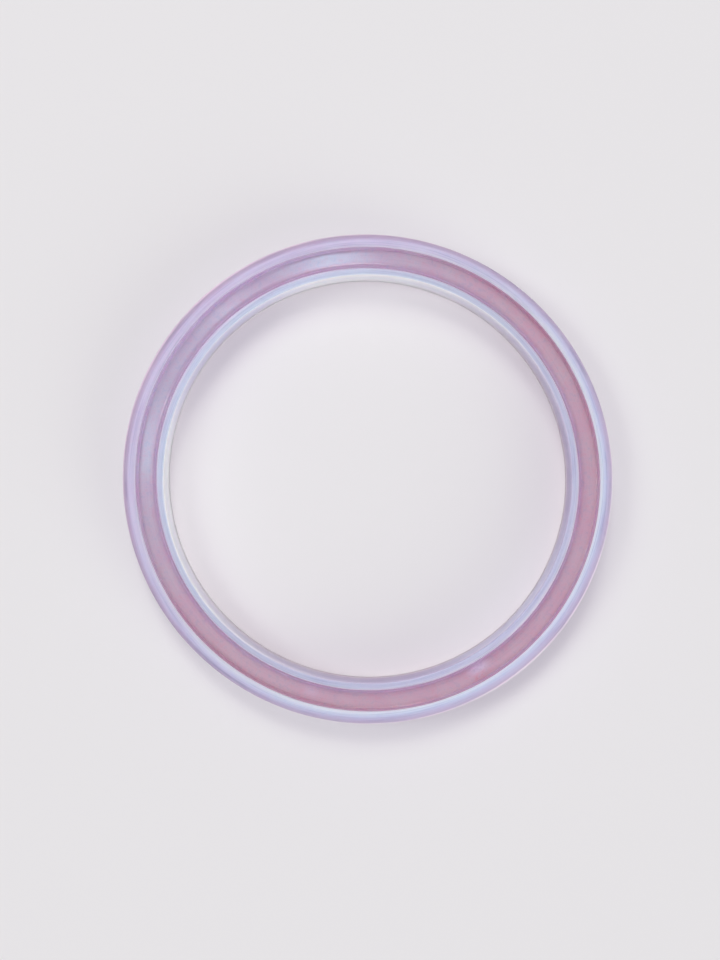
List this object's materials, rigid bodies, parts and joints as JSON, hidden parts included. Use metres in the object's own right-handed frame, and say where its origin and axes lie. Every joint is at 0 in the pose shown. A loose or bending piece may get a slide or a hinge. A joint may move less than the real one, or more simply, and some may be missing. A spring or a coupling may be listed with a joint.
{
  "type": "coffee machine seal",
  "caption": "Moulded silicone ring seal with a round bore, a flat underside, and a groove between a wide crowned outer lip and a thin inner lip.",
  "frame": {"origin": "on the ring's axis, in the plane of the flat underside that it lies on", "axes": "+Z along the ring's axis, from the flat underside to the grooved side; +X and +Y are any two directions across, because the ring is round"},
  "size_m": [0.065, 0.065, 0.0083],
  "materials": {
    "silicone": "satin, translucent"
  },
  "bodies": {
    "root": {"seal_ring": "silicone"}
  },
  "joints": []
}
